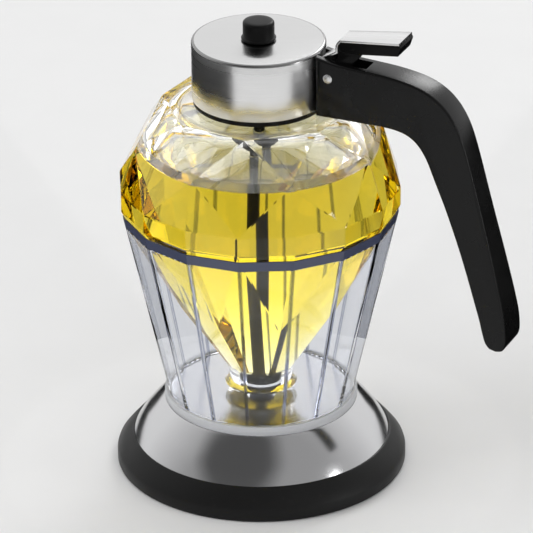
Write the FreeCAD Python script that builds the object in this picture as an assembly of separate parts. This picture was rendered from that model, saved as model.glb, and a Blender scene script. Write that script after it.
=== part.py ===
"""Honey dispenser: a gem-cut glass jar with a thumb-lever cap, resting in a clear stand on a steel base.

Millimetres. Z is up, the origin is on the jar's axis at table level, and the handle points along +X.
"""
import math
import os

import FreeCAD
import Part

V = FreeCAD.Vector

# ---- driving dimensions ----
BASE_R = 50.0            # widest radius of the rubber ring
RING_WALL_H = 4.6        # upright outer wall of the rubber ring
RING_TOP_H = 10.9        # where rubber gives way to steel
RING_IN_R = 44.2         # radius at that line
FLOOR_T = 1.5            # rubber web that closes the base underneath
STEEL_T = 1.2            # sheet of the steel base and of the cap
FLOOR_H = 26.8           # polished floor inside the stand
FOOT_H = 24.2            # underside of the stand's foot band
FOOT_R = 33.2            # outer radius of the foot band
STAND_LOW_R = 32.0       # corner radius of the stand wall at the floor
RIM_IN = 0.6             # how far the rim stays inside the girdle
RIM_DROP = 2.3           # how far the rim stays below the girdle
WALL_T = 2.1             # thickness of the stand's flat panels
SIDES = 16               # sides of the stand and of the jar's girdle
FACET_TURN = 15.3        # turn of the facets from the handle, degrees

GIRDLE_R = 48.2          # corner radius of the upright girdle band
GIRDLE_LOW = 98.8
GIRDLE_TOP = 105.4
STAR_R = 43.0            # tips of the star facets
TABLE_R = 33.0           # corner radius of the table round the neck
TABLE_H = 134.7
TIP_R = 27.0             # lower tips of the long facets
COLLAR_R = 10.4          # round outlet collar
COLLAR_TOP = 36.5
LIP_R = 12.0             # flared lip of the outlet
LIP_T = 1.8
OUTLET_GAP = 2.8         # lower end of the outlet above the floor
OUTLET_R = 4.75          # bore of the outlet
GLASS_T = 2.6            # least wall of the jar
NECK_R = 20.2
NECK_T = 2.4
NECK_H = 14.3            # neck above the table
HONEY_H = 118.0          # level of the honey

CAP_R = 22.7
CAP_H = 20.6
GASKET_H = 1.7           # cap edge above the glass
CAP_ROUND = 0.8
GASKET_R = 22.2          # black ring between the cap and the glass
PLUG_DROP = 3.1          # plug below the table, in the neck
BOSS_R = 5.3             # rod guide under the plug
BOSS_DROP = 13.2         # guide below the table

ROD_R = 2.15
KNOB_R = 5.35
KNOB_H = 6.6
FLANGE_R = 5.9
FLANGE_H = 0.8
STOPPER_R = 4.4
STOPPER_IN = 0.8         # stopper above the outlet's end
STOPPER_H = 3.0
STOPPER_CONE = 4.0

PIN_OUT = 4.7            # lever pivot, out from the cap's wall
PIN_UP = 12.9            # and up from the cap's edge
PIN_R = 1.7
PIN_HEAD = 0.35          # how far each pin end stands out of the handle
SLOT_W = 6.3             # slot in the handle for the lever
SLOT_LEN = 17.7          # slot out from the cap's wall
SLOT_UP = 7.2            # slot floor above the cap's edge
HUB_R = 3.9
PLATE_W_IN = 9.0         # thumb plate, inner and outer width
PLATE_W_OUT = 11.6
SHEET_T = 0.8            # steel sheet on the thumb plate
PRESS_DEG = 12.0         # how far the lever is pressed

HANDLE_W = 11.2          # handle width at the cap
TIP_W = 14.0             # handle width near its tip
HANDLE_GAP = 0.4         # underside above the glass
HANDLE_ROUND = 1.9       # rounding of the handle's long edges

# ---- clearances ----
MOVE_GAP = 0.35          # round parts that slide past each other
PIN_GAP = 0.06           # running clearance of the lever on its pin
SIDE_GAP = 0.3           # lever to each side of its slot
REST_GAP = 0.3           # between the knob and the cap at rest

# ---- heights and reaches that follow ----
RIM_R = GIRDLE_R - RIM_IN
RIM_H = GIRDLE_LOW - RIM_DROP
OUTLET_H = FLOOR_H + OUTLET_GAP
LIP_H = OUTLET_H + LIP_T
NECK_TOP = TABLE_H + NECK_H
CAP_LOW = TABLE_H + GASKET_H
CAP_TOP = CAP_LOW + CAP_H
PLUG_LOW = TABLE_H - PLUG_DROP
BOSS_LOW = TABLE_H - BOSS_DROP
STOPPER_LOW = OUTLET_H + STOPPER_IN
PIN_X, PIN_H = CAP_R + PIN_OUT, CAP_LOW + PIN_UP
SLOT_END, SLOT_LOW = CAP_R + SLOT_LEN, CAP_LOW + SLOT_UP
LIFT = math.radians(PRESS_DEG) * PIN_X
Z = V(0, 0, 1)
O = V(0, 0, 0)


def ring_point(radius, turn, z):
    a = math.radians(FACET_TURN + turn)
    return V(radius * math.cos(a), radius * math.sin(a), z)


def polygon(points):
    return Part.makePolygon(list(points) + [points[0]])


def turned(profile):
    """Solid of revolution from (radius, height) points."""
    return Part.Face(polygon([V(r, 0, z) for r, z in profile])).revolve(O, Z, 360)


def prism_xz(points, width):
    """Plate of the given width, centred on the XZ plane."""
    face = Part.Face(polygon([V(x, -width / 2, z) for x, z in points]))
    return face.extrude(V(0, width, 0))


def faceted(faces):
    return Part.Solid(Part.Shell([Part.Face(polygon(f)) for f in faces]))


def sided(levels, count):
    """Frustums with flat sides between (corner radius, height) levels."""
    rings = [[ring_point(r, 360.0 * i / count, z) for i in range(count)] for r, z in levels]
    faces = [rings[0][::-1], rings[-1]]
    for low, top in zip(rings, rings[1:]):
        for i in range(count):
            j = (i + 1) % count
            faces.append([low[i], low[j], top[j], top[i]])
    return faceted(faces)


def line_height(r, r0, z0, r1, z1):
    return z0 + (r - r0) * (z1 - z0) / (r1 - r0)


# ---- glass jar, outside ----
MAINS = 8
STEP = 360.0 / SIDES
HALF = math.cos(math.radians(STEP))
K_R = COLLAR_R / HALF - 0.1

# The tips are as high as flat kites and flat long facets need.
STAR_H = line_height(STAR_R * HALF, TABLE_R, TABLE_H, GIRDLE_R, GIRDLE_TOP)
TIP_H = line_height(TIP_R * HALF, GIRDLE_R, GIRDLE_LOW, K_R * HALF, COLLAR_TOP)

table = [ring_point(TABLE_R, 2 * STEP * k, TABLE_H) for k in range(MAINS)]
star = [ring_point(STAR_R, STEP * (2 * k + 1), STAR_H) for k in range(MAINS)]
upper = [ring_point(GIRDLE_R, STEP * j, GIRDLE_TOP) for j in range(SIDES)]
lower = [ring_point(GIRDLE_R, STEP * j, GIRDLE_LOW) for j in range(SIDES)]
tips = [ring_point(TIP_R, STEP * (2 * k + 1), TIP_H) for k in range(MAINS)]
foot = [ring_point(K_R, STEP * (2 * k + 1), COLLAR_TOP) for k in range(MAINS)]

faces = [table, foot[::-1]]
for k in range(MAINS):
    a, b, n, before = 2 * k, 2 * k + 1, (2 * k + 2) % SIDES, k - 1
    faces += [
        [table[k], star[k], table[(k + 1) % MAINS]],
        [table[k], star[before], upper[a], star[k]],
        [star[k], upper[a], upper[b]],
        [star[k], upper[b], upper[n]],
        [tips[k], lower[b], lower[a]],
        [tips[k], lower[n], lower[b]],
        [lower[a], tips[before], foot[before], foot[k], tips[k]],
    ]
for j in range(SIDES):
    n = (j + 1) % SIDES
    faces.append([lower[j], lower[n], upper[n], upper[j]])
gem = faceted(faces)

neck = turned([(0, TABLE_H - 1), (NECK_R, TABLE_H - 1), (NECK_R, NECK_TOP), (0, NECK_TOP)])
collar = turned([(0, OUTLET_H), (LIP_R, OUTLET_H), (LIP_R, LIP_H), (COLLAR_R, LIP_H + 1.4),
                 (COLLAR_R, COLLAR_TOP + 1), (0, COLLAR_TOP + 1)])
outside = gem.fuse(neck).fuse(collar).removeSplitter()

# ---- glass jar, smooth inside ----
SLOPE = (GIRDLE_R - K_R * HALF) / (GIRDLE_LOW - COLLAR_TOP)
SIDE = GLASS_T * math.sqrt(1 + SLOPE * SLOPE)
BAND_IN = GIRDLE_R * math.cos(math.radians(STEP / 2)) - GLASS_T
BELLY_LOW = GIRDLE_LOW - (GIRDLE_R - SIDE - BAND_IN) / SLOPE
SEAT_H = COLLAR_TOP - 1.5
SEAT_R = GIRDLE_R - SIDE - SLOPE * (GIRDLE_LOW - COLLAR_TOP - 1.0)
NECK_IN = NECK_R - NECK_T
STAR_MIN = STAR_R * HALF - GLASS_T * 1.15
wall = [
    (OUTLET_R, OUTLET_H - 1), (OUTLET_R, SEAT_H), (SEAT_R, COLLAR_TOP + 1.0), (BAND_IN, BELLY_LOW),
    (BAND_IN, GIRDLE_TOP - 0.6), (STAR_MIN, STAR_H), (TABLE_R * HALF - 0.2, TABLE_H - 4.6),
    (TABLE_R * HALF - GLASS_T - 0.8, TABLE_H - GLASS_T), (NECK_IN, TABLE_H - GLASS_T + 0.2),
    (NECK_IN, NECK_TOP + 1),
]
cavity = turned([(0, wall[0][1])] + wall + [(0, wall[-1][1])])
jar = outside.cut(cavity)

# ---- honey, clear of the rod and of the rising stopper ----
level = Part.makeCylinder(GIRDLE_R, HONEY_H - SEAT_H, V(0, 0, SEAT_H))
stopper_top = STOPPER_LOW + STOPPER_H + LIFT + MOVE_GAP
cone_top = stopper_top + STOPPER_CONE
path = turned([(0, OUTLET_H), (OUTLET_R, OUTLET_H), (OUTLET_R, stopper_top), (ROD_R + MOVE_GAP, cone_top),
               (ROD_R + MOVE_GAP, HONEY_H + 1), (0, HONEY_H + 1)])
honey = cavity.common(level).cut(path)

# ---- stand: flat panels, foot band, and a seat that fits the jar ----
slant = math.hypot(1, (RIM_R - STAND_LOW_R) / (RIM_H - FLOOR_H))
inset = WALL_T * slant / math.cos(math.radians(STEP / 2))
shell = sided([(STAND_LOW_R, FLOOR_H), (RIM_R, RIM_H)], SIDES)
rise = (RIM_R - STAND_LOW_R) / (RIM_H - FLOOR_H)
hollow = sided([(STAND_LOW_R - inset - rise, FLOOR_H - 1), (RIM_R - inset + rise, RIM_H + 1)], SIDES)
PLATE_R = FOOT_R - 1.9
band = turned([(PLATE_R, FOOT_H), (FOOT_R, FOOT_H), (FOOT_R, FLOOR_H + 0.6), (PLATE_R - 0.6, FLOOR_H + 0.6),
               (PLATE_R - 0.6, FLOOR_H), (PLATE_R, FLOOR_H)])
stand = shell.fuse(band).cut(hollow).cut(outside)

# ---- steel base and rubber ring ----
skirt_out = [(0, FLOOR_H), (PLATE_R, FLOOR_H), (PLATE_R, FOOT_H), (FOOT_R + 0.1, FOOT_H),
             (0.5 * (FOOT_R + RING_IN_R) + 0.5, 0.5 * (FOOT_H + RING_TOP_H) + 0.4), (RING_IN_R, RING_TOP_H),
             (RING_IN_R, FLOOR_T)]
skirt_in = [(RING_IN_R - STEEL_T, FLOOR_T), (RING_IN_R - STEEL_T, RING_TOP_H - 0.5),
            (PLATE_R - STEEL_T, FOOT_H - STEEL_T), (PLATE_R - STEEL_T, FLOOR_H - STEEL_T),
            (0, FLOOR_H - STEEL_T)]
base = turned(skirt_out + skirt_in)

ring = turned([
    (0, 0), (BASE_R - 0.9, 0), (BASE_R - 0.25, 0.3), (BASE_R, 0.9), (BASE_R, RING_WALL_H - 0.6),
    (BASE_R - 0.35, RING_WALL_H + 0.5), (BASE_R - 2.2, RING_WALL_H + 2.8), (RING_IN_R + 0.7, RING_TOP_H),
    (RING_IN_R, RING_TOP_H), (RING_IN_R, FLOOR_T), (0, FLOOR_T),
])

# ---- cap: steel shell, black liner with gasket and plug, rod guide under the plug ----
SHELL_IN = CAP_R - STEEL_T
BORE_R = ROD_R + MOVE_GAP
cap = turned([
    (BORE_R, CAP_TOP), (CAP_R - CAP_ROUND, CAP_TOP), (CAP_R - 0.23, CAP_TOP - 0.23),
    (CAP_R, CAP_TOP - CAP_ROUND), (CAP_R, CAP_LOW), (SHELL_IN, CAP_LOW), (SHELL_IN, CAP_TOP - STEEL_T),
    (BORE_R, CAP_TOP - STEEL_T),
])
liner = turned([
    (BORE_R, CAP_TOP - STEEL_T), (SHELL_IN, CAP_TOP - STEEL_T), (SHELL_IN, CAP_LOW), (GASKET_R, CAP_LOW),
    (GASKET_R, TABLE_H), (NECK_R, TABLE_H), (NECK_R, NECK_TOP), (NECK_IN, NECK_TOP), (NECK_IN, PLUG_LOW),
    (BORE_R, PLUG_LOW),
])
guide = turned([(BORE_R, PLUG_LOW), (BOSS_R, PLUG_LOW), (BOSS_R, BOSS_LOW + 3.5), (BOSS_R - 1.9, BOSS_LOW),
                (BORE_R, BOSS_LOW)])

# ---- plunger: knob, rod and stopper, lifted together ----
knob_low = CAP_TOP + REST_GAP
knob_top = knob_low + KNOB_H
knob = turned([(0, knob_low), (FLANGE_R, knob_low), (FLANGE_R, knob_low + FLANGE_H), (KNOB_R, knob_low + FLANGE_H),
               (KNOB_R, knob_top - 1.0), (KNOB_R - 0.3, knob_top - 0.3), (KNOB_R - 1.0, knob_top), (0, knob_top)])
cone_low = STOPPER_LOW + STOPPER_H
rod = turned([(0, STOPPER_LOW), (STOPPER_R, STOPPER_LOW), (STOPPER_R, cone_low),
              (ROD_R, cone_low + STOPPER_CONE), (ROD_R, knob_low), (0, knob_low)])

# ---- handle: rounded sections from the cap to the tip ----
# Handle and lever points are (out from the cap's wall, up from the cap's edge).
# Each station: outer point, inner point, half width, corner rounding.
under = HANDLE_GAP - GASKET_H
HALF_W, HALF_TIP = HANDLE_W / 2, TIP_W / 2
STATIONS = [
    ((-8.7, 20.0), (-8.7, under), HALF_W, 0.6),
    ((0.3, 19.8), (0.3, under), HALF_W, 0.6),
    ((5.9, 18.6), (5.9, under), HALF_W, 0.6),
    ((11.6, 18.0), (11.6, under), HALF_W, 0.6),
    ((18.3, 17.6), (18.3, under), HALF_W, 0.8),
    ((25.3, 17.1), (24.8, under), HALF_W, 1.4),
    ((31.3, 16.3), (28.8, -1.6), HALF_W, HANDLE_ROUND),
    ((37.0, 15.0), (32.1, -2.4), HALF_W, HANDLE_ROUND),
    ((42.0, 12.8), (34.7, -3.7), HALF_W, HANDLE_ROUND),
    ((46.1, 9.7), (36.9, -5.6), HALF_W, HANDLE_ROUND),
    ((49.5, 5.5), (38.8, -8.1), HALF_W, HANDLE_ROUND),
    ((52.4, -0.1), (40.6, -11.4), HALF_W, HANDLE_ROUND),
    ((55.1, -8.2), (43.1, -17.6), HALF_W, HANDLE_ROUND),
    ((59.5, -24.4), (47.9, -29.2), HALF_W + 0.2, HANDLE_ROUND),
    ((64.5, -43.4), (53.8, -45.2), HALF_W + 0.6, HANDLE_ROUND),
    ((69.2, -64.4), (59.6, -63.4), HALF_TIP, HANDLE_ROUND),
    ((70.1, -70.4), (61.7, -70.4), HALF_TIP, HANDLE_ROUND),
    ((69.8, -73.4), (63.0, -74.0), HALF_TIP - 0.9, HANDLE_ROUND),
    ((68.3, -75.6), (64.7, -75.9), HALF_TIP - 2.6, 1.2),
]


def at_cap(points):
    return [(CAP_R + x, CAP_LOW + z) for x, z in points]


def rounded_section(outer, inner, half, r):
    """Rounded rectangle across the handle, as 3-D points."""
    outer, inner = at_cap([outer, inner])
    depth = math.hypot(outer[0] - inner[0], outer[1] - inner[1])
    ux, uz = (inner[0] - outer[0]) / depth, (inner[1] - outer[1]) / depth
    points = []
    for sy, far in ((-1, 0), (-1, 1), (1, 1), (1, 0)):
        steps = [(0.0, 1.0), (0.29, 0.29), (1.0, 0.0)]
        for along, across in steps if sy * (0.5 - far) < 0 else steps[::-1]:
            t = r * along if not far else depth - r * along
            points.append(V(outer[0] + ux * t, sy * (half - r * across), outer[1] + uz * t))
    return points


sections = [rounded_section(*station) for station in STATIONS]
faces = [sections[0][::-1], sections[-1]]
for near, far in zip(sections, sections[1:]):
    for i in range(len(near)):
        j = (i + 1) % len(near)
        faces += [[near[i], near[j], far[j]], [near[i], far[j], far[i]]]
handle = faceted(faces)
handle = handle.cut(Part.makeCylinder(CAP_R, 40, V(0, 0, CAP_LOW - 10)))
slot_top = CAP_TOP + 5
slot = prism_xz([(10, SLOT_LOW), (SLOT_END - 3, SLOT_LOW), (SLOT_END, SLOT_LOW + 3), (SLOT_END, slot_top),
                 (10, slot_top)], SLOT_W)
Y = V(0, 1, 0)
pin_len = HANDLE_W + 2 * PIN_HEAD
pin = Part.makeCylinder(PIN_R, pin_len, V(PIN_X, -pin_len / 2, PIN_H), Y)
handle = handle.cut(slot).cut(pin)

# ---- lever: black body and bent steel sheet, as (out, up) points from the pin ----
TOP_OUT, TOP_IN, BEND = (25.8, 16.2), (4.2, 13.5), (3.2, 12.0)
BODY = [(-1.0, 2.9), (2.5, 6.9), (2.5, 11.0), (4.2, 12.9), (12.1, 11.7), (11.6, 10.4), (10.0, 7.9), (3.7, -1.1)]
THUMB = [BEND, TOP_IN, TOP_OUT, (26.2, 15.4), (25.2, 12.2), (11.6, 10.4), (4.0, 9.9)]
TONGUE = [BEND, (2.5, 11.0), (2.5, 8.7), (-2.8, 5.6)]
PLAN = [(-1.4, PLATE_W_IN / 2), (3.6, PLATE_W_IN / 2), (27.2, PLATE_W_OUT / 2), (32.0, PLATE_W_OUT / 2)]


def from_pin(points, width):
    return prism_xz([(PIN_X + x, PIN_H + z) for x, z in points], width)


def sheet(points, width):
    """Steel sheet laid on a bent line, on its upper side."""
    outer = []
    for i, (x, z) in enumerate(points):
        x0, z0 = points[max(i - 1, 0)]
        x1, z1 = points[min(i + 1, len(points) - 1)]
        n = math.hypot(x1 - x0, z1 - z0)
        outer.append((x + SHEET_T * (z1 - z0) / n, z - SHEET_T * (x1 - x0) / n))
    return from_pin(points + outer[::-1], width)


LEVER_W = SLOT_W - 2 * SIDE_GAP
plan = [V(PIN_X + x, y, PIN_H) for x, y in PLAN] + [V(PIN_X + x, -y, PIN_H) for x, y in PLAN[::-1]]
taper = Part.Face(polygon(plan)).extrude(V(0, 0, 30))
hub = Part.makeCylinder(HUB_R, LEVER_W, V(PIN_X, -LEVER_W / 2, PIN_H), Y)
hole = Part.makeCylinder(PIN_R + PIN_GAP, LEVER_W + 2, V(PIN_X, -LEVER_W / 2 - 1, PIN_H), Y)
lever = from_pin(BODY, LEVER_W).fuse(hub).fuse(from_pin(THUMB, PLATE_W_OUT).common(taper)).cut(hole).removeSplitter()
steel_top = sheet([TOP_OUT, TOP_IN, BEND], PLATE_W_OUT).common(taper)
lever_sheet = steel_top.fuse(sheet(TONGUE, LEVER_W)).cut(lever).removeSplitter()

NODES = {
    "base_ring": ring, "base_steel": base, "stand": stand, "jar": jar, "honey": honey,
    "cap": cap, "cap_liner": liner, "rod_guide": guide, "handle": handle, "pivot_pin": pin,
    "lever": lever, "lever_sheet": lever_sheet, "knob": knob, "rod": rod,
}
os.makedirs("parts", exist_ok=True)
for name, shape in NODES.items():
    solids = shape.Solids
    box = shape.BoundBox
    print(f"{name:12s} solids {len(solids)} valid {shape.isValid()} volume {shape.Volume / 1000:8.2f} cc "
          f"x {box.XMin:.1f}..{box.XMax:.1f} y {box.YMin:.1f}..{box.YMax:.1f} z {box.ZMin:.1f}..{box.ZMax:.1f}")
    (solids[0] if len(solids) == 1 else shape).exportStep(f"parts/{name}.step")
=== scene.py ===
"""Honey dispenser: a faceted glass jar with a steel cap, thumb lever and hooked handle, in a clear stand.

Sizes are written in millimetres and scaled to metres as each mesh is made.
Z is up and the handle points along +X.
"""
import math

import bmesh
import bpy
from mathutils import Matrix, Vector


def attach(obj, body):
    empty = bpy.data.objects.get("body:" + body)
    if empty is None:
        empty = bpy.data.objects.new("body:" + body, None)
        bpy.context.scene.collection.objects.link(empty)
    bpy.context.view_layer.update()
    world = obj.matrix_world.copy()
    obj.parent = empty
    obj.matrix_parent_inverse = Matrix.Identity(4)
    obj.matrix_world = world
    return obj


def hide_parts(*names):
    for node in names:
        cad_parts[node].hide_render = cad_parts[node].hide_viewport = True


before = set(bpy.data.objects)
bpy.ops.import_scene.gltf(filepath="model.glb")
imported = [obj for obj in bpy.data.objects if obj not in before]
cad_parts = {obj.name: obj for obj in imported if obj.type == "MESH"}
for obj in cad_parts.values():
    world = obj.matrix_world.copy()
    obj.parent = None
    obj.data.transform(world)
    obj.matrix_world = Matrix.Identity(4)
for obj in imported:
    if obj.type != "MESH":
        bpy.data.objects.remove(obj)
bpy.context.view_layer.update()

# ---- Rubber foot ring ----------------------------------------------------------------------------
# A soft black ring moulded round the edge of the steel base, with an upright wall, a ridge and a sloping
# upper face. Turned from its section; the corners are rounded as a mould leaves them, and a thin bead
# closes it on the steel.

MM = 0.001


def object_from(name, bm):
    """Turn a finished bmesh into an object in the scene; the bmesh is used up."""
    mesh = bpy.data.meshes.new(name)
    bm.to_mesh(mesh)
    bm.free()
    made = bpy.data.objects.new(name, mesh)
    bpy.context.scene.collection.objects.link(made)
    return made


def new_piece(name, bm, finish, body="dispenser"):
    """Finish a mesh made in millimetres: faces outwards, scaled to metres and riding on its body."""
    bmesh.ops.remove_doubles(bm, verts=bm.verts, dist=1e-4)
    bmesh.ops.recalc_face_normals(bm, faces=bm.faces)
    bmesh.ops.scale(bm, vec=(MM, MM, MM), verts=bm.verts)
    piece = object_from(name, bm)
    piece.data.materials.append(finish)
    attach(piece, body)
    return piece


def turned(section, closed=True, steps=128):
    """Turn a section of (radius, height) points round the Z axis, smooth between its corners."""
    bm = bmesh.new()
    verts = [bm.verts.new((r, 0, z)) for r, z in section]
    pairs = list(zip(verts, verts[1:])) + ([(verts[-1], verts[0])] if closed else [])
    edges = [bm.edges.new(pair) for pair in pairs]
    bmesh.ops.spin(bm, geom=verts + edges, cent=(0, 0, 0), axis=(0, 0, 1), angle=math.tau, steps=steps,
                   use_merge=True)
    bmesh.ops.remove_doubles(bm, verts=bm.verts, dist=1e-4)
    bmesh.ops.recalc_face_normals(bm, faces=bm.faces)
    for face in bm.faces:
        face.smooth = True
    return bm


def round_corners(bm, width, least=25.0, segments=3, keep=None):
    """Bevel every edge that turns by more than `least` degrees."""
    sharp = [e for e in bm.edges if len(e.link_faces) == 2 and e.calc_face_angle(0) > math.radians(least)
             and (keep is None or keep(e))]
    bmesh.ops.bevel(bm, geom=sharp, offset=width, offset_type='OFFSET', segments=segments, profile=0.5,
                    affect='EDGES', material=-1, clamp_overlap=True)
    return bm


def soft_shading(piece, degrees=35.0):
    """Sharp edges above an angle; faces that were flat stay flat."""
    flat = [face.index for face in piece.data.polygons if not face.use_smooth]
    piece.data.set_sharp_from_angle(angle=math.radians(degrees))
    for index in flat:
        piece.data.polygons[index].use_smooth = False


def group(name, **sockets):
    """A node group for a finish: its own inputs, and colour, roughness and height coming out."""
    tree = bpy.data.node_groups.new(name, "ShaderNodeTree")
    kinds = {3: "NodeSocketVector", 4: "NodeSocketColor"}
    for label, value in sockets.items():
        kind = kinds[len(value)] if isinstance(value, tuple) else "NodeSocketFloat"
        socket = tree.interface.new_socket(label, in_out='INPUT', socket_type=kind)
        socket.default_value = value
    for label in ("Colour", "Roughness", "Height"):
        kind = "NodeSocketColor" if label == "Colour" else "NodeSocketFloat"
        tree.interface.new_socket(label, in_out='OUTPUT', socket_type=kind)
    return tree, tree.nodes.new("NodeGroupInput"), tree.nodes.new("NodeGroupOutput")


def wire(tree, *links):
    for source, target in links:
        tree.links.new(source, target)


def math_node(tree, operation, a, b=0.0):
    node = tree.nodes.new("ShaderNodeMath")
    node.operation = operation
    for socket, value in zip(node.inputs, (a, b)):
        if isinstance(value, (int, float)):
            socket.default_value = value
        else:
            tree.links.new(value, socket)
    return node.outputs[0]


def where_on(tree):
    """The place on the piece, in metres from its origin."""
    return tree.nodes.new("ShaderNodeTexCoord").outputs["Object"]


def noise(tree, vector, scale, detail=3.0, roughness=0.55):
    node = tree.nodes.new("ShaderNodeTexNoise")
    node.inputs["Scale"].default_value = scale
    node.inputs["Detail"].default_value = detail
    node.inputs["Roughness"].default_value = roughness
    tree.links.new(vector, node.inputs["Vector"])
    return node.outputs["Fac"]


def remap(tree, value, low, high, to_low, to_high):
    node = tree.nodes.new("ShaderNodeMapRange")
    for label, number in (("From Min", low), ("From Max", high), ("To Min", to_low), ("To Max", to_high)):
        if isinstance(number, (int, float)):
            node.inputs[label].default_value = number
        else:
            tree.links.new(number, node.inputs[label])
    tree.links.new(value, node.inputs["Value"])
    return node.outputs["Result"]


def mix_colour(tree, factor, a, b):
    node = tree.nodes.new("ShaderNodeMix")
    node.data_type = 'RGBA'
    for socket, value in ((node.inputs[0], factor), (node.inputs[6], a), (node.inputs[7], b)):
        if isinstance(value, (tuple, float, int)):
            socket.default_value = value
        else:
            tree.links.new(value, socket)
    return node.outputs[2]


def moulded_grain():
    """Moulded black plastic or rubber: fine spark grain, faint mottling of the gloss and pale scuffs."""
    tree, into, out = group("moulded grain", Colour=(0.02, 0.02, 0.02, 1), Scuffed=(0.05, 0.05, 0.05, 1),
                            Gloss=0.35, Grain=2500.0)
    where = where_on(tree)
    fine = tree.nodes.new("ShaderNodeTexNoise")
    fine.inputs["Detail"].default_value = 2.0
    wire(tree, (where, fine.inputs["Vector"]), (into.outputs["Grain"], fine.inputs["Scale"]))
    broad = noise(tree, where, 60.0, 4.0)
    scuff = remap(tree, noise(tree, where, 340.0, 6.0, 0.7), 0.60, 0.78, 0.0, 0.6)
    colour = mix_colour(tree, scuff, into.outputs["Colour"], into.outputs["Scuffed"])
    rough = math_node(tree, 'ADD', into.outputs["Gloss"], remap(tree, broad, 0.35, 0.65, -0.04, 0.06))
    rough = math_node(tree, 'ADD', rough, math_node(tree, 'MULTIPLY', scuff, 0.12))
    wire(tree, (colour, out.inputs["Colour"]), (rough, out.inputs["Roughness"]),
         (fine.outputs["Fac"], out.inputs["Height"]))
    return tree


MOULDED = moulded_grain()


def material(name, **values):
    """A material with its Principled shader, whose plain values are set on the shader's own sockets."""
    made = bpy.data.materials.new(name)
    made.use_nodes = True
    shader = made.node_tree.nodes["Principled BSDF"]
    for label, value in values.items():
        shader.inputs[label.replace("_", " ")].default_value = value
    return made, made.node_tree, shader


def worked_surface(tree, shader, finish, strength, depth, **values):
    """Give a shader the colour and roughness of a finish group, and the group's height as a bump."""
    node = tree.nodes.new("ShaderNodeGroup")
    node.node_tree = finish
    for label, value in values.items():
        node.inputs[label].default_value = (*value, 1) if isinstance(value, tuple) else value
    relief = tree.nodes.new("ShaderNodeBump")
    relief.inputs["Strength"].default_value = strength
    relief.inputs["Distance"].default_value = depth
    wire(tree, (node.outputs["Colour"], shader.inputs["Base Color"]),
         (node.outputs["Roughness"], shader.inputs["Roughness"]),
         (node.outputs["Height"], relief.inputs["Height"]),
         (relief.outputs["Normal"], shader.inputs["Normal"]))
    return node


def black_moulding(name, colour, scuffed, gloss, grain=2500.0, depth=0.00002, **values):
    made, tree, shader = material(name, **values)
    worked_surface(tree, shader, MOULDED, 0.35, depth, Colour=colour, Scuffed=scuffed, Gloss=gloss,
                   Grain=grain)
    return made


ring_section = [(0, 0), (49.1, 0), (49.75, 0.3), (50, 0.9), (50, 4.0), (49.65, 5.1), (47.8, 7.4),
                (44.9, 10.7), (44.55, 10.9), (44.2, 10.9), (44.2, 1.5), (0, 1.5)]
rubber = black_moulding("satin black rubber", (0.008, 0.008, 0.008), (0.02, 0.02, 0.02), 0.42, 1800.0,
                        0.00003, Specular_IOR_Level=0.2)
ring = new_piece("foot_ring", round_corners(turned(ring_section, False), 0.3, 30), rubber)
soft_shading(ring, 50)
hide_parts("base_ring")

# ---- Steel base ----------------------------------------------------------------------------------
# A pressed and polished steel sheet: a flat floor that the stand sits on, a short step and a flared skirt.
# Turned as one shell; the polish leaves faint rings round the axis and a little cloudiness.


def polished_rings():
    """Polished sheet steel: fine circular polishing marks and faint cloudiness."""
    tree, into, out = group("polishing marks", Colour=(0.7, 0.7, 0.7, 1), Polish=0.1, Marks=0.05)
    where = where_on(tree)
    parts = tree.nodes.new("ShaderNodeSeparateXYZ")
    wire(tree, (where, parts.inputs[0]))
    radius = math_node(tree, 'SQRT', math_node(tree, 'ADD', math_node(tree, 'POWER', parts.outputs[0], 2.0),
                                               math_node(tree, 'POWER', parts.outputs[1], 2.0)))
    along = math_node(tree, 'ADD', radius, math_node(tree, 'MULTIPLY', parts.outputs[2], -0.8))
    lines = tree.nodes.new("ShaderNodeCombineXYZ")
    wire(tree, (along, lines.inputs[0]))
    rings = noise(tree, lines.outputs[0], 3500.0, 4.0, 0.7)
    cloudy = noise(tree, where, 45.0, 3.0)
    marked = math_node(tree, 'MULTIPLY', into.outputs["Marks"], remap(tree, rings, 0.3, 0.7, -0.5, 0.5))
    rough = math_node(tree, 'ADD', into.outputs["Polish"], marked)
    rough = math_node(tree, 'ADD', rough, remap(tree, cloudy, 0.35, 0.7, -0.01, 0.03))
    dulled = remap(tree, rings, 0.35, 0.75, 0.0, 0.12)
    shade = mix_colour(tree, dulled, into.outputs["Colour"], (0.45, 0.45, 0.46, 1))
    wire(tree, (shade, out.inputs["Colour"]), (rough, out.inputs["Roughness"]), (rings, out.inputs["Height"]))
    return tree


POLISHED = polished_rings()


def steel(name, colour, polish, marks):
    made, tree, shader = material(name, Metallic=1.0)
    worked_surface(tree, shader, POLISHED, 0.2, 0.000002, Colour=colour, Polish=polish, Marks=marks)
    return made


FLOOR_TOP, FLOOR_LOW = 26.8, 25.6
skirt_section = [(0, FLOOR_TOP), (31.1, FLOOR_TOP), (31.3, 26.6), (31.3, 24.4), (31.5, 24.2), (33.2, 24.2),
                 (33.9, 23.6), (36.0, 21.3), (39.2, 17.95), (42.2, 14.1), (44.2, 10.7), (44.2, 1.5),
                 (43.0, 1.5), (43.0, 10.4), (30.1, 23.0), (30.1, FLOOR_LOW), (0, FLOOR_LOW)]
skirt = new_piece("base_skirt", turned(skirt_section, False),
                  steel("polished base steel", (0.62, 0.62, 0.63), 0.15, 0.05))
# The floor inside the stand takes a slightly rougher copy of the steel; its darker colour is painted shade
# under the stand.
skirt.data.materials.append(steel("floor steel darkened as painted shade", (0.42, 0.42, 0.43), 0.18, 0.04))
for face in skirt.data.polygons:
    face.material_index = 1 if face.center.z > (FLOOR_TOP - 0.2) * MM else 0
soft_shading(skirt, 28)
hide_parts("base_steel")

# ---- Clear stand ---------------------------------------------------------------------------------
# A moulded clear cup with sixteen flat panels; its corner lines, outline and rim band are painted slate-blue
# shade. Its section is turned in sixteen steps, then the jar's seat is cut out; rim and foot are bands of
# their own.

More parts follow.
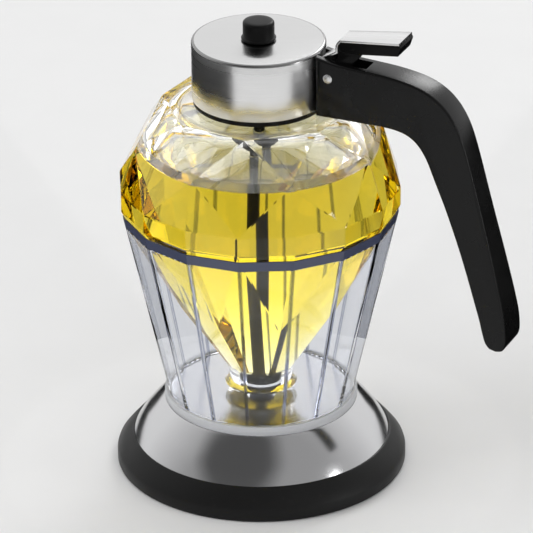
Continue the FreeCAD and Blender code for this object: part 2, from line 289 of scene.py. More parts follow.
SIDES, TURN = 16, 15.3
STEP = 360.0 / SIDES
RIM_LOW, RIM_TOP = 92.8, 96.5
WALL_LOW_R, WALL_TOP_R = 32.0, 47.6
RISE = (WALL_TOP_R - WALL_LOW_R) / (RIM_TOP - FLOOR_TOP)


def wall_radius(height):
    return WALL_LOW_R + RISE * (height - FLOOR_TOP)


def panelled_wall(low, top, thickness=2.1):
    """A wall of flat panels between two heights: its section turned in as many steps as it has sides."""
    across = thickness * math.hypot(1, RISE) / math.cos(math.radians(STEP / 2))
    section = [(wall_radius(low), low), (wall_radius(top), top), (wall_radius(top) - across, top),
               (wall_radius(low) - across, low)]
    bm = turned(section, True, SIDES)
    bmesh.ops.rotate(bm, cent=(0, 0, 0), matrix=Matrix.Rotation(math.radians(TURN), 3, 'Z'), verts=bm.verts)
    for face in bm.faces:
        face.smooth = False
    return bm


def combined(first, second, operation):
    """Two bmeshes in millimetres, cut or joined into one; both are used up."""
    shapes = []
    for bm in (first, second):
        bmesh.ops.recalc_face_normals(bm, faces=bm.faces)
        shapes.append(object_from("shape", bm))
    modifier = shapes[0].modifiers.new("join", 'BOOLEAN')
    modifier.operation, modifier.solver, modifier.object = operation, 'EXACT', shapes[1]
    changed = shapes[0].evaluated_get(bpy.context.evaluated_depsgraph_get())
    bm = bmesh.new()
    bm.from_mesh(bpy.data.meshes.new_from_object(changed))
    for shape in shapes:
        bpy.data.objects.remove(shape)
    return bm


# The jar's cut outside is made first, because the stand's seat follows it.
GIRDLE_R, GIRDLE_LOW, GIRDLE_TOP = 48.2, 98.8, 105.4
TABLE_R, TABLE_H, STAR_R, TIP_R = 33.0, 134.7, 43.0, 27.0
COLLAR_R, COLLAR_TOP = 10.4, 36.5
FOOT_R = COLLAR_R / math.cos(math.radians(STEP)) - 0.1


def between(r, r0, z0, r1, z1):
    return z0 + (r - r0) * (z1 - z0) / (r1 - r0)


def cut_gem(grow=0.0):
    """The gem's flat facets, as the hull of its corner rings; `grow` moves them out to leave a clearance."""
    cosine = math.cos(math.radians(STEP))
    star_h = between(STAR_R * cosine, TABLE_R, TABLE_H, GIRDLE_R, GIRDLE_TOP)
    tip_h = between(TIP_R * cosine, GIRDLE_R, GIRDLE_LOW, FOOT_R * cosine, COLLAR_TOP)
    rings = [(TABLE_R, TABLE_H, 8, 0), (STAR_R, star_h, 8, 1), (GIRDLE_R, GIRDLE_TOP, 16, 0),
             (GIRDLE_R, GIRDLE_LOW, 16, 0), (TIP_R, tip_h, 8, 1), (FOOT_R, COLLAR_TOP, 8, 1)]
    bm = bmesh.new()
    for radius, height, count, odd in rings:
        out = radius + grow
        for k in range(count):
            a = math.radians(TURN + odd * STEP + 360.0 * k / count)
            bmesh.ops.create_vert(bm, co=(out * math.cos(a), out * math.sin(a), height))
    bmesh.ops.convex_hull(bm, input=bm.verts)
    bmesh.ops.dissolve_limit(bm, angle_limit=math.radians(0.4), verts=bm.verts, edges=bm.edges)
    bmesh.ops.recalc_face_normals(bm, faces=bm.faces)
    return bm


def glass_surface():
    """Moulded glass: a very slight waviness, faint colour drift and thin spots of haze."""
    tree, into, out = group("glass surface", Colour=(1, 1, 1, 1), Tint=(0.95, 0.95, 0.95, 1), Haze=0.01,
                            Waves=90.0)
    where = where_on(tree)
    waves = tree.nodes.new("ShaderNodeTexNoise")
    waves.inputs["Detail"].default_value = 1.0
    wire(tree, (where, waves.inputs["Vector"]), (into.outputs["Waves"], waves.inputs["Scale"]))
    drift = noise(tree, where, 25.0, 2.0)
    spots = remap(tree, noise(tree, where, 160.0, 4.0), 0.55, 0.8, 0.0, 0.02)
    drifted = remap(tree, drift, 0.3, 0.7, 0.0, 1.0)
    colour = mix_colour(tree, drifted, into.outputs["Colour"], into.outputs["Tint"])
    rough = math_node(tree, 'ADD', into.outputs["Haze"], spots)
    wire(tree, (colour, out.inputs["Colour"]), (rough, out.inputs["Roughness"]),
         (waves.outputs["Fac"], out.inputs["Height"]))
    return tree


GLASSY = glass_surface()


def clear_material(name, colour, tint, haze, waves, depth, index, clearness=1.0):
    """A clear moulding with its index of refraction, and its nodes for a colour that is worked further."""
    made, tree, shader = material(name, Transmission_Weight=clearness, IOR=index)
    surface = worked_surface(tree, shader, GLASSY, 0.3, depth, Colour=colour, Tint=tint, Haze=haze,
                             Waves=waves)
    return made, tree, shader, surface


def round_the_axis(tree):
    """The place on the piece, its X, Y and Z, and its turn round the Z axis in radians."""
    where = where_on(tree)
    parts = tree.nodes.new("ShaderNodeSeparateXYZ")
    wire(tree, (where, parts.inputs[0]))
    return where, parts.outputs, math_node(tree, 'ARCTAN2', parts.outputs[1], parts.outputs[0])


ACRYLIC_INDEX, SEAT_GAP = 1.45, 0.12
wall = round_corners(panelled_wall(FLOOR_TOP + 0.04, RIM_LOW + 0.05), 0.35, 15, 2)
acrylic, tree, shader, surface = clear_material("clear acrylic", (0.93, 0.94, 0.965), (0.91, 0.925, 0.955),
                                                0.0, 60.0, 0.00002, ACRYLIC_INDEX)
# Along each corner a thin line of the tint turns slate blue: painted shade for the dark the corner bends into
# view.
_, _, turn = round_the_axis(tree)
turn = math_node(tree, 'SUBTRACT', turn, math.radians(TURN))
away = math_node(tree, 'PINGPONG', turn, math.radians(STEP / 2))
painted_corner_line = remap(tree, away, math.radians(0.4), math.radians(0.9), 1.0, 0.0)
shade = mix_colour(tree, painted_corner_line, surface.outputs["Colour"], (0.20, 0.225, 0.33, 1))
# Towards the outline the colour turns blue-grey: painted shade for the dark edges the clear walls show.
painted_edge_shade = tree.nodes.new("ShaderNodeLayerWeight")
painted_edge_shade.inputs["Blend"].default_value = 0.5
painted_edge_shade = remap(tree, painted_edge_shade.outputs["Facing"], 0.62, 0.95, 0.0, 0.75)
wire(tree, (mix_colour(tree, painted_edge_shade, shade, (0.38, 0.42, 0.52, 1)), shader.inputs["Base Color"]))
stand = new_piece("stand_walls", wall, acrylic)
soft_shading(stand, 25)
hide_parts("stand")

# The rim band is given a dark slate colour: painted shade for the dark that its edge reflects inside it.
rim_wall = combined(panelled_wall(RIM_LOW, RIM_TOP), cut_gem(SEAT_GAP), 'DIFFERENCE')
slate = clear_material("rim band painted dark as shade", (0.10, 0.115, 0.19), (0.08, 0.09, 0.15), 0.08, 60.0, 0.00002,
                       ACRYLIC_INDEX, 0.25)[0]
rim = new_piece("stand_rim", round_corners(rim_wall, 0.2, 20, 2), slate)
soft_shading(rim, 25)

foot_section = [(31.33, 24.23), (33.0, 24.23), (33.2, 24.5), (33.2, 26.9), (32.9, 27.35), (31.9, 27.4),
                (31.33, 27.0)]
frosted = clear_material("frosted foot band", (0.80, 0.81, 0.83), (0.72, 0.73, 0.76), 0.3, 300.0, 0.00004,
                         ACRYLIC_INDEX, 0.35)[0]
foot = new_piece("stand_foot_band", turned(foot_section), frosted)
soft_shading(foot, 40)

# ---- Glass jar -----------------------------------------------------------------------------------
# Thick pressed glass: cut-looking flat facets outside, smooth inside, a plain neck and a flared outlet
# collar. The faceted hull gets fine worn edges, neck and collar are joined on, and the turned inside is cut
# out.

gem = round_corners(cut_gem(), 0.25, 3, 1)
for face in gem.faces:
    face.smooth = False
neck_bm = turned([(0, 133), (20.2, 133), (20.2, 148.6), (19.8, 149), (0, 149)], False, 96)
collar_bm = turned([(0, 29.6), (11.4, 29.6), (11.85, 29.8), (12.0, 30.2), (11.8, 30.6), (11.2, 31.0),
                    (10.6, 31.6), (COLLAR_R, 32.4), (COLLAR_R, 37.5), (0, 37.5)], False, 96)
body = combined(gem, neck_bm, 'UNION')
body = combined(body, collar_bm, 'UNION')

GLASS_T = 2.6
cosine = math.cos(math.radians(STEP))
slope = (GIRDLE_R - FOOT_R * cosine) / (GIRDLE_LOW - COLLAR_TOP)
side = GLASS_T * math.hypot(1, slope)
band_in = GIRDLE_R * math.cos(math.radians(STEP / 2)) - GLASS_T
belly_low = GIRDLE_LOW - (GIRDLE_R - side - band_in) / slope
seat_r = GIRDLE_R - side - slope * (GIRDLE_LOW - COLLAR_TOP - 1.0)
star_h = between(STAR_R * cosine, TABLE_R, TABLE_H, GIRDLE_R, GIRDLE_TOP)
star_in = STAR_R * cosine - GLASS_T * 1.15
OUTLET_R, NECK_IN = 4.75, 17.8
inner_wall = [(OUTLET_R, 28.6), (OUTLET_R, 35.0), (seat_r, 37.5), (band_in, belly_low),
              (band_in, GIRDLE_TOP - 0.6), (star_in, star_h), (TABLE_R * cosine - 0.2, TABLE_H - 4.6),
              (TABLE_R * cosine - GLASS_T - 0.8, TABLE_H - GLASS_T), (NECK_IN, TABLE_H - GLASS_T + 0.2),
              (NECK_IN, 150)]
hollow = turned([(0, 28.6)] + inner_wall + [(0, 150)], False, 96)
round_corners(hollow, 1.2, 8, 3, lambda e: 33 < e.verts[0].co.z < 145)
for face in hollow.faces:
    face.smooth = True
body = combined(body, hollow, 'DIFFERENCE')
CLEAR, FAINT_GREEN = (1.0, 1.0, 1.0), (0.975, 0.985, 0.98)
pressed = clear_material("pressed clear glass", CLEAR, FAINT_GREEN, 0.0, 70.0, 0.00001, 1.5)[0]
# Honey bends light as much as glass does, so where it wets the wall light crosses straight on: no index
# step there.
wetted = clear_material("wetted clear glass", CLEAR, FAINT_GREEN, 0.0, 70.0, 0.00001, 1.0)[0]
jar = new_piece("jar_glass", body, pressed)
jar.data.materials.append(wetted)
HONEY_H = 118.0
for face in jar.data.polygons:
    centre, normal = face.center, face.normal
    inward = centre.x * normal.x + centre.y * normal.y < 0
    if inward and centre.z < HONEY_H * MM and math.hypot(centre.x, centre.y) > (OUTLET_R - 0.25) * MM:
        face.material_index = 1
soft_shading(jar, 20)
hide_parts("jar")

# ---- Honey ---------------------------------------------------------------------------------------
# Clear golden honey up to its level, a little way up the wall where it clings, with the rod standing in it.
# Turned from the inside of the glass and let into it by a hair, so no air shows between the two.

INTO_GLASS, HONEY_LOW = 0.07, 32.0
level_r = between(HONEY_H, star_h, star_in, TABLE_H - 4.6, TABLE_R * cosine - 0.2)
honey_section = [(0, HONEY_LOW)]
for r, z in inner_wall[:5]:
    honey_section.append((r + INTO_GLASS, max(z, HONEY_LOW)))
honey_section += [(star_in + INTO_GLASS, star_h)] if star_h < HONEY_H else []
honey_section += [(level_r + INTO_GLASS + 0.1, HONEY_H + 0.7), (level_r - 0.35, HONEY_H + 0.35),
                  (level_r - 1.2, HONEY_H + 0.08), (level_r - 2.6, HONEY_H), (3.4, HONEY_H),
                  (2.5, HONEY_H + 0.12), (2.0, HONEY_H + 0.5), (0, HONEY_H + 0.5)]
honey_bm = turned(honey_section, False, 96)


def mottled(tree, shader, scale, detail, one, other):
    """Let the base colour drift between two near shades."""
    drift = noise(tree, where_on(tree), scale, detail)
    wire(tree, (mix_colour(tree, drift, (*one, 1), (*other, 1)), shader.inputs["Base Color"]))


golden, tree, shader = material("golden honey", Transmission_Weight=1.0, IOR=1.0, Roughness=0.0)
mottled(tree, shader, 30.0, 2.0, (1.0, 0.995, 0.96), (1.0, 0.985, 0.90))
absorption = tree.nodes.new("ShaderNodeVolumeAbsorption")
absorption.inputs["Color"].default_value = (0.963, 0.878, 0.0, 1)
absorption.inputs["Density"].default_value = 42.0
wire(tree, (absorption.outputs[0], tree.nodes["Material Output"].inputs["Volume"]))
honey = new_piece("honey_fill", honey_bm, golden)
soft_shading(honey, 40)
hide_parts("honey")

# ---- Honey surface -------------------------------------------------------------------------------
# The level top of the honey, which mirrors the pale crown facets above it and so looks silvery, not golden.
# A thin disc let into the top of the honey is painted pale as a painted reflection, its sixteen sectors and
# dark lines the facets.

skin_bm = turned([(2.2, HONEY_H - 0.1), (level_r - 0.9, HONEY_H - 0.1), (level_r - 0.6, HONEY_H + 0.15),
                  (level_r - 1.0, HONEY_H + 0.2), (level_r - 2.6, HONEY_H + 0.08), (3.4, HONEY_H + 0.06),
                  (2.6, HONEY_H + 0.15), (2.2, HONEY_H + 0.3)], True, 96)
painted_reflection, tree, shader = material("honey surface painted reflection", Roughness=0.03, IOR=1.49, Transmission_Weight=0.66)
# Painted reflection: a pale grey that differs by sector, with darker lines where the sectors meet.
where, _, turn = round_the_axis(tree)
sector = math_node(tree, 'FLOOR', math_node(tree, 'MULTIPLY', turn, SIDES / math.tau))
cell = tree.nodes.new("ShaderNodeTexWhiteNoise")
cell.noise_dimensions = '1D'
wire(tree, (sector, cell.inputs["W"]))
soft = noise(tree, where, 55.0, 2.0)
painted_facet_line = math_node(tree, 'PINGPONG', turn, math.radians(STEP / 2))
painted_facet_line = remap(tree, painted_facet_line, math.radians(0.3), math.radians(1.6), 0.0, 1.0)
shade = math_node(tree, 'ADD', math_node(tree, 'MULTIPLY', cell.outputs["Value"], 0.7),
                  math_node(tree, 'MULTIPLY', soft, 0.4))
shade = mix_colour(tree, remap(tree, shade, 0.3, 0.8, 0.0, 1.0), (0.64, 0.65, 0.64, 1), (0.80, 0.80, 0.80, 1))
wire(tree, (mix_colour(tree, painted_facet_line, (0.45, 0.46, 0.42, 1), shade), shader.inputs["Base Color"]))
skin = new_piece("honey_surface", skin_bm, painted_reflection)
under, tree, shader = material("under the honey surface", Transmission_Weight=1.0, IOR=1.0, Roughness=0.0)
mottled(tree, shader, 30.0, 2.0, (1.0, 1.0, 1.0), (0.98, 0.98, 0.96))
skin.data.materials.append(under)
for face in skin.data.polygons:
    face.material_index = 1 if face.normal.z < -0.5 else 0
soft_shading(skin, 40)

# ---- Cap liner and rod guide ---------------------------------------------------------------------
# Black plastic: the gasket under the cap, the plug in the jar's neck and the short tube that guides the
# rod. Their shapes are plain turned mouldings, so the CAD nodes stay and only take the moulded finish.

liner_plastic = black_moulding("black liner plastic", (0.005, 0.005, 0.005), (0.015, 0.015, 0.015), 0.38,
                               Specular_IOR_Level=0.2)
for node in ("cap_liner", "rod_guide"):
    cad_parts[node].data.materials[0] = liner_plastic

# ---- Steel cap -----------------------------------------------------------------------------------
# A drawn steel shell: the side is brushed round the axis, the top is brushed straight, the rim is burnished;
# the side's steel is painted lighter than the top's as painted light, the rim much darker as painted shade.
# Turned from its section with a rolled edge; three materials share the shape by height and radius.


def brushed_lines():
    """Brushed steel: long fine scratches running across the given stretch of the coordinates."""
    tree, into, out = group("brushed lines", Vector=(0, 0, 0), Colour=(0.7, 0.7, 0.7, 1),
                            Dark=(0.5, 0.5, 0.5, 1), Polish=0.3)
    lines = noise(tree, into.outputs["Vector"], 1.0, 5.0, 0.75)
    broad = noise(tree, into.outputs["Vector"], 0.13, 2.0)
    scratched = remap(tree, lines, 0.35, 0.7, 0.0, 1.0)
    colour = mix_colour(tree, scratched, into.outputs["Colour"], into.outputs["Dark"])
    rough = math_node(tree, 'ADD', into.outputs["Polish"], remap(tree, broad, 0.3, 0.7, -0.04, 0.05))
    wire(tree, (colour, out.inputs["Colour"]), (rough, out.inputs["Roughness"]),
         (lines, out.inputs["Height"]))
    return tree


BRUSHED = brushed_lines()


def brushed_steel(name, around, colour, dark, polish, anisotropy, direction=0.0, depth=0.000004):
    """Steel brushed round the Z axis, or straight along a direction given in degrees from X."""
    made, tree, shader = material(name, Metallic=1.0, Anisotropic=anisotropy,
                                  Anisotropic_Rotation=0.25 if around else 0.0)
    brushed = worked_surface(tree, shader, BRUSHED, 0.25, depth, Colour=colour, Dark=dark, Polish=polish)
    tangent = tree.nodes.new("ShaderNodeTangent")
    wire(tree, (tangent.outputs[0], shader.inputs["Tangent"]))
    if around:
        _, parts, angle = round_the_axis(tree)
        turn = tree.nodes.new("ShaderNodeCombineXYZ")
        wire(tree, (math_node(tree, 'MULTIPLY', angle, 1.3), turn.inputs[0]),
             (math_node(tree, 'MULTIPLY', parts[2], 7000.0), turn.inputs[1]),
             (turn.outputs[0], brushed.inputs["Vector"]))
        tangent.direction_type, tangent.axis = 'RADIAL', 'Z'
    else:
        mapping = tree.nodes.new("ShaderNodeMapping")
        mapping.vector_type = 'TEXTURE'
        mapping.inputs["Rotation"].default_value = (0, 0, math.radians(direction))
        mapping.inputs["Scale"].default_value = (0.05, 1 / 6000.0, 1.0)
        wire(tree, (where_on(tree), mapping.inputs["Vector"]), (mapping.outputs[0], brushed.inputs["Vector"]))
        tangent.direction_type, tangent.uv_map = 'UV_MAP', "brushing"
    return made


def brushing_map(piece, degrees):
    """A UV map whose U runs along the brushing, for the tangent of straight-brushed faces."""
    layer = piece.data.uv_layers.new(name="brushing")
    c, s = math.cos(math.radians(degrees)), math.sin(math.radians(degrees))
    for loop in piece.data.loops:
        x, y, _ = piece.data.vertices[loop.vertex_index].co
        layer.data[loop.index].uv = ((c * x + s * y) * 10, (-s * x + c * y) * 10)


CAP_R, CAP_LOW, CAP_TOP = 22.7, 136.4, 157.0
BRUSH_TURN = 24.0
cap_section = [(2.5, CAP_TOP), (21.75, CAP_TOP), (22.15, 156.93), (22.45, 156.75), (22.63, 156.45),
               (CAP_R, 156.1), (CAP_R, 136.75), (22.6, 136.48), (22.35, CAP_LOW), (21.5, CAP_LOW),
               (21.5, 155.8), (2.5, 155.8)]
# The side's light steel colour is painted light; the top's is darker, and the rim's much darker colour is
# painted shade.
cap = new_piece("cap_shell", turned(cap_section, True, 160),
                brushed_steel("steel brushed round", True, (0.95, 0.95, 0.95), (0.86, 0.86, 0.86), 0.30, 0.4,
                              depth=0.0000018))
cap.data.materials.append(brushed_steel("steel brushed straight", False, (0.70, 0.70, 0.70),
                                        (0.63, 0.63, 0.63), 0.18, 0.8, BRUSH_TURN))
cap.data.materials.append(steel("rim steel darkened as painted shade", (0.30, 0.30, 0.30), 0.22, 0.04))
brushing_map(cap, BRUSH_TURN)
for face in cap.data.polygons:
    centre = face.center
    out = math.hypot(centre.x, centre.y)
    if face.normal.z > 0.95 and out < (CAP_R - 1.0) * MM:
        face.material_index = 1
    elif centre.z > (CAP_TOP - 1.0) * MM:
        face.material_index = 2
soft_shading(cap, 50)
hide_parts("cap")

# ---- Knob, rod and stopper -----------------------------------------------------------------------
# Turned black plastic: the knob with its foot flange rests above the cap, the rod runs down through the
# honey to the cone and stopper in the outlet. All lift together.

KNOB_LOW = 157.3
SATIN_BLACK = (0.004, 0.004, 0.004), (0.012, 0.012, 0.012)
knob_section = [(0, KNOB_LOW), (5.7, KNOB_LOW), (5.9, 157.5), (5.9, 157.85), (5.7, 158.1), (5.5, 158.15),
                (5.35, 158.35), (5.35, 162.8), (5.25, 163.3), (4.95, 163.65), (4.5, 163.82), (3.2, 163.88),
                (0, 163.9)]
satin = black_moulding("satin black knob", *SATIN_BLACK, 0.34, 3000.0, Specular_IOR_Level=0.16)
knob = new_piece("knob_button", turned(knob_section, False, 96), satin, "plunger")
soft_shading(knob, 50)
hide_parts("knob")

rod_section = [(0, 30.4), (3.9, 30.4), (4.3, 30.6), (4.4, 31.0), (4.4, 33.2), (4.25, 33.5), (2.3, 37.1),
               (2.15, 37.6), (2.15, KNOB_LOW), (0, KNOB_LOW)]
rod = new_piece("plunger_rod", turned(rod_section, False, 64),
                black_moulding("black rod plastic", (0.006, 0.006, 0.004), (0.015, 0.015, 0.012), 0.3,
                               Specular_IOR_Level=0.2), "plunger")
soft_shading(rod, 50)
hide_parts("rod")

# ---- Handle --------------------------------------------------------------------------------------
# One black moulding: a deep arm bolted to the cap that bends down into a slim hook, a little wider at its
# tip. A smooth outline is filled, thickened and rounded, widened to the tip, and the lever's slot is cut in
# its top.

outer_line = [(0.3, 19.9), (5.9, 18.7), (11.6, 18.1), (18.3, 17.7), (25.3, 17.2), (31.3, 16.4), (37.0, 15.1),
              (42.0, 12.9), (46.1, 9.8), (49.5, 5.6), (52.4, 0.0), (55.1, -8.2), (59.5, -24.4), (64.5, -43.4),
              (69.0, -62.0), (70.0, -69.0), (69.9, -73.0), (68.6, -75.4), (66.3, -76.0)]
inner_line = [(64.0, -75.4), (62.4, -73.4), (61.2, -69.5), (59.6, -63.4), (53.8, -45.2), (47.9, -29.2),
              (43.1, -17.6), (40.6, -11.5), (38.8, -8.2), (36.9, -5.7), (34.7, -3.8), (32.1, -2.5),
              (28.8, -1.7), (24.8, -1.35), (18.3, -1.3), (0.3, -1.3)]
HANDLE_ROUND, HALF_W, HALF_TIP = 3.0, 5.6, 7.0


def smooth_outline(points, steps):
    """Points along a smooth curve through the given ones."""
    fine = []
    for i in range(len(points) - 1):
        p = [Vector(points[min(max(j, 0), len(points) - 1)]) for j in (i - 1, i, i + 1, i + 2)]
        for k in range(steps):
            t = k / steps
            fine.append(0.5 * ((2 * p[1]) + (p[2] - p[0]) * t
                               + (2 * p[0] - 5 * p[1] + 4 * p[2] - p[3]) * t * t
                               + (3 * p[1] - p[0] - 3 * p[2] + p[3]) * t ** 3))
    return fine + [Vector(points[-1])]


def plate(outline, half, bevel, segments=4, at=(0.0, 0.0)):
    """A flat plate across the XZ plane, with its long edges rounded."""
    bm = bmesh.new()
    face = bm.faces.new([bm.verts.new((at[0] + x, -half, at[1] + z)) for x, z in outline])
    moved = bmesh.ops.extrude_face_region(bm, geom=[face])
    lifted = [v for v in moved["geom"] if isinstance(v, bmesh.types.BMVert)]
    bmesh.ops.translate(bm, vec=(0, 2 * half, 0), verts=lifted)
    bmesh.ops.recalc_face_normals(bm, faces=bm.faces)
    if bevel:
        rims = [e for e in bm.edges if abs(e.verts[0].co.y - e.verts[1].co.y) < 1e-6]
        bmesh.ops.bevel(bm, geom=rims, offset=bevel, offset_type='OFFSET', segments=segments, profile=0.5,
                        affect='EDGES', material=-1, clamp_overlap=True)
    for one in bm.faces:
        one.smooth = True
    return bm


outline = smooth_outline(outer_line, 4) + smooth_outline(inner_line, 4)
grip = plate(outline, HALF_W, HANDLE_ROUND, 5, (CAP_R, CAP_LOW))
for v in grip.verts:
    widen = min(max((CAP_LOW - 20 - v.co.z) / 50.0, 0.0), 1.0)
    v.co.y *= 1 + (HALF_TIP / HALF_W - 1) * widen * widen * (3 - 2 * widen)
slot = plate([(10, 143.6), (37.4, 143.6), (39.5, 144.4), (40.4, 146.6), (40.4, 162), (10, 162)], 3.15, 0)
grip = combined(grip, slot, 'DIFFERENCE')
cylinder = turned([(0, 125), (CAP_R + 0.02, 125), (CAP_R + 0.02, 165), (0, 165)], False, 160)
grip = combined(grip, cylinder, 'DIFFERENCE')
handle_plastic = black_moulding("satin black handle plastic", *SATIN_BLACK, 0.26, 2600.0,
                                Specular_IOR_Level=0.25)
handle = new_piece("handle_grip", grip, handle_plastic)
soft_shading(handle, 32)
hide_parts("handle")

# ---- Hinge pin -----------------------------------------------------------------------------------
# A plain steel rivet pin through the handle's two cheeks, its ends slightly domed.
# Turned from its section round the Z axis, then laid across the handle at the lever's hinge.

PIN_X, PIN_H = 27.4, 149.3
pin_bm = turned([(0, -5.95), (1.0, -5.93), (1.45, -5.8), (1.7, -5.5), (1.7, 5.5), (1.45, 5.8), (1.0, 5.93),
                 (0, 5.95)], False, 48)
bmesh.ops.rotate(pin_bm, cent=(0, 0, 0), matrix=Matrix.Rotation(math.radians(90), 3, 'X'), verts=pin_bm.verts)
bmesh.ops.translate(pin_bm, vec=(PIN_X, 0, PIN_H), verts=pin_bm.verts)
pin = new_piece("hinge_pin", pin_bm, steel("rivet steel", (0.80, 0.80, 0.80), 0.28, 0.03))
soft_shading(pin, 50)
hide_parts("pivot_pin")

# ---- Thumb lever ---------------------------------------------------------------------------------
# A glossy black rocker on the pin, with a wider thumb plate covered by a bent sheet of bright steel.
# Both are flat outlines thickened across the handle; the thumb plate widens outwards.


def widened(bm, start=30.0, end=53.5, inner=9.0 / 11.6):
    """Narrow the thumb plate towards the cap, as its plan tapers."""
    for v in bm.verts:
        t = min(max((v.co.x - start) / (end - start), 0.0), 1.0)
        v.co.y *= inner + (1 - inner) * t
    return bm


at_pin = (PIN_X, PIN_H)
hub = [(3.85 * math.cos(math.radians(a)), 3.85 * math.sin(math.radians(a))) for a in range(145, 376, 11)]
rocker_bm = plate([(2.5, 11.0), (2.5, 6.9), (-1.0, 3.7)] + hub[1:-1] + [(3.9, 0.8), (7.0, 4.2), (10.0, 7.9),
                  (11.6, 10.6)], 2.85, 0.35, 2, at_pin)
thumb_bm = widened(plate([(3.2, 12.0), (4.2, 13.5), (25.8, 16.2), (26.2, 15.4), (25.2, 12.3), (11.6, 10.4),
                          (4.0, 9.9)], 5.8, 0.45, 3, at_pin))
rocker_bm = combined(rocker_bm, thumb_bm, 'UNION')
lever_plastic = black_moulding("glossy black lever plastic", *SATIN_BLACK, 0.2, 3000.0, 0.00001,
                               Specular_IOR_Level=0.1)
rocker = new_piece("lever_rocker", rocker_bm, lever_plastic, "lever")
soft_shading(rocker, 30)
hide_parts("lever")

plate_bm = widened(plate([(25.75, 16.25), (4.2, 13.55), (3.15, 12.05), (2.5, 12.5), (3.75, 14.3),
                          (25.65, 17.0)], 5.75, 0.18, 2, at_pin))
tongue_bm = plate([(3.5, 12.75), (3.1, 12.1), (2.45, 11.0), (2.45, 8.7), (-2.8, 5.6), (-3.2, 6.3), (1.7, 9.2),
                   (1.7, 11.3), (2.45, 12.4), (2.85, 12.9)], 2.85, 0.12, 2, at_pin)
sheet_bm = combined(plate_bm, tongue_bm, 'UNION')
bright_sheet = brushed_steel("bright lever steel", False, (0.80, 0.80, 0.80), (0.70, 0.70, 0.70), 0.24, 0.5)
sheet = new_piece("lever_plate", sheet_bm, bright_sheet, "lever")
brushing_map(sheet, 0.0)
soft_shading(sheet, 30)
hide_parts("lever_sheet")

# ---- Floor, light and camera ---------------------------------------------------------------------
# A pale seamless floor, with three broad soft lamps hidden from reflections and two small lamps for the arm
# and the far ridges. Two black cards on the floor show only in reflections, and a long lens looks down.

floor_bm = bmesh.new()
bmesh.ops.create_grid(floor_bm, x_segments=1, y_segments=1, size=4.0)
floor = object_from("floor", floor_bm)
pale, tree, shader = material("pale floor", Roughness=0.6, Specular_IOR_Level=0.2)
mottled(tree, shader, 40.0, 4.0, (0.74, 0.74, 0.74), (0.77, 0.77, 0.77))
floor.data.materials.append(pale)

CAMERA_TURN = -66.0
TARGET = Vector((0.00194, 0.00086, 0.07243))
LAMP_AIM = Vector((0, 0, 0.09))


def softbox(name, turn, height_deg, distance, size, watts, shape=(1.0, 1.0)):
    """A flat lamp round the dispenser, aimed at it; the turn is counted from the camera's side."""
    a, e = math.radians(CAMERA_TURN + turn), math.radians(height_deg)
    place = Vector((math.cos(a) * math.cos(e), math.sin(a) * math.cos(e), math.sin(e))) * distance
    data = bpy.data.lights.new(name, 'AREA')
    data.shape, data.size, data.size_y, data.energy = 'RECTANGLE', size * shape[0], size * shape[1], watts
    lamp = bpy.data.objects.new(name, data)
    bpy.context.scene.collection.objects.link(lamp)
    aim = (LAMP_AIM - place).to_track_quat('-Z', 'Y')
    lamp.matrix_world = Matrix.Translation(place) @ aim.to_matrix().to_4x4()
    return lamp


CARD_INNER, CARD_OUTER, CARD_HEIGHT = 0.09, 1.3, 0.002
card_black, tree, shader = material("black card", Roughness=0.9, Specular_IOR_Level=0.0)
mottled(tree, shader, 300.0, 3.0, (0.004, 0.004, 0.004), (0.012, 0.012, 0.012))


def dark_card(name, start, end):
    """A card on the floor between two turns from the camera's side, seen only in reflections."""
    bm = bmesh.new()
    turn = Matrix.Rotation(math.radians(CAMERA_TURN + start), 4, 'Z')
    ends = [bm.verts.new(turn @ Vector((out, 0, CARD_HEIGHT))) for out in (CARD_INNER, CARD_OUTER)]
    bmesh.ops.spin(bm, geom=ends + [bm.edges.new(ends)], cent=(0, 0, 0), axis=(0, 0, 1),
                   angle=math.radians(end - start), steps=24)
    card = object_from(name, bm)
    card.data.materials.append(card_black)
    card.visible_camera = card.visible_diffuse = card.visible_transmission = card.visible_shadow = False


dark_card("card_left", -160, -44)
dark_card("card_right", 56, 160)

left = softbox("lamp_left", -75, 38, 1.2, 0.7, 5.0)
top = softbox("lamp_top", 180, 68, 1.3, 1.45, 6.6)
front = softbox("lamp_front", 8, 44, 1.3, 0.9, 3.2)
softbox("lamp_arm", 155, 36, 1.3, 0.36, 3.4)
softbox("lamp_ridge", 66, 8, 1.2, 0.3, 2.6, (0.6, 2.4))
left.visible_glossy = top.visible_glossy = front.visible_glossy = False

world = bpy.data.worlds.new("studio")
world.use_nodes = True
bpy.context.scene.world = world
tree = world.node_tree
soft_light = tree.nodes["Background"]
soft_light.inputs["Color"].default_value = (1, 1, 1, 1)
soft_light.inputs["Strength"].default_value = 0.40
pale_back = tree.nodes.new("ShaderNodeBackground")
pale_back.inputs["Color"].default_value = (0.97, 0.97, 0.97, 1)
rays = tree.nodes.new("ShaderNodeLightPath")
# Reflections show the camera's side of the room darker, most of all one high part of it. Clear pieces let
# through a room of broad soft lights and shades, brightest low down at the back, so their facets differ.
room = tree.nodes.new("ShaderNodeTexCoord").outputs["Generated"]


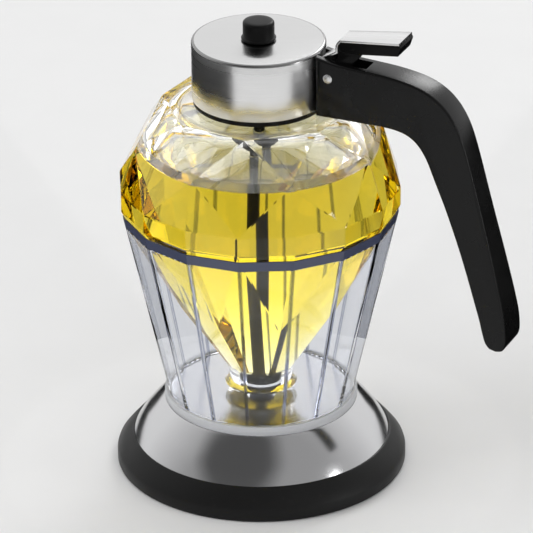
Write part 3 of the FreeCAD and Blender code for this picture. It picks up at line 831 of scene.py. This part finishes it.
def towards(turn, height_deg):
    """How far a ray points towards one part of the room, 1 at its middle; turns as for the lamps."""
    a, e = math.radians(CAMERA_TURN + turn), math.radians(height_deg)
    dot = tree.nodes.new("ShaderNodeVectorMath")
    dot.operation = 'DOT_PRODUCT'
    dot.inputs[1].default_value = (math.cos(a) * math.cos(e), math.sin(a) * math.cos(e), math.sin(e))
    wire(tree, (room, dot.inputs[0]))
    return dot.outputs["Value"]


near_side = remap(tree, towards(0, 0), -0.5, 0.3, 0.0, 0.56)
dark_part = remap(tree, towards(-28, 50), 0.80, 0.92, 0.0, 0.33)
metal = math_node(tree, 'SUBTRACT', math_node(tree, 'SUBTRACT', 1.0, near_side), dark_part)
patches = remap(tree, noise(tree, room, 2.2, 0.0), 0.36, 0.64, 0.46, 0.84)
back = remap(tree, towards(180, 14), 0.90, 0.985, 0.0, 0.16)
clear = math_node(tree, 'ADD', patches, back)
ray_kinds = ("Is Camera Ray", "Is Glossy Ray", "Is Transmission Ray")
direct, glossy, through = (rays.outputs[kind] for kind in ray_kinds)
bent = math_node(tree, 'ADD', math_node(tree, 'MULTIPLY', metal, glossy),
                 math_node(tree, 'MULTIPLY', clear, through))
wire(tree, (math_node(tree, 'ADD', direct, bent), pale_back.inputs["Strength"]))
seen = math_node(tree, 'MAXIMUM', direct, math_node(tree, 'MAXIMUM', glossy, through))
chosen = tree.nodes.new("ShaderNodeMixShader")
wire(tree, (seen, chosen.inputs[0]), (soft_light.outputs[0], chosen.inputs[1]),
     (pale_back.outputs[0], chosen.inputs[2]),
     (chosen.outputs[0], tree.nodes["World Output"].inputs["Surface"]))

camera_data = bpy.data.cameras.new("camera")
camera_data.sensor_width, camera_data.lens = 36.0, 337.4
camera_data.clip_start, camera_data.clip_end = 0.05, 50.0
camera = bpy.data.objects.new("camera", camera_data)
bpy.context.scene.collection.objects.link(camera)
eye = Vector((0.6271, -1.4032, 0.8174))
look = (TARGET - eye).to_track_quat('-Z', 'Y').to_matrix().to_4x4()
camera.matrix_world = Matrix.Translation(eye) @ look @ Matrix.Rotation(math.radians(-0.38), 4, 'Z')
bpy.context.scene.camera = camera
bpy.context.scene.view_settings.view_transform = 'Standard'
# Light crosses stand, jar and honey twice, so paths are given more turns than usual.
cycles = bpy.context.scene.cycles
cycles.max_bounces = cycles.transmission_bounces = 40
cycles.glossy_bounces = 12
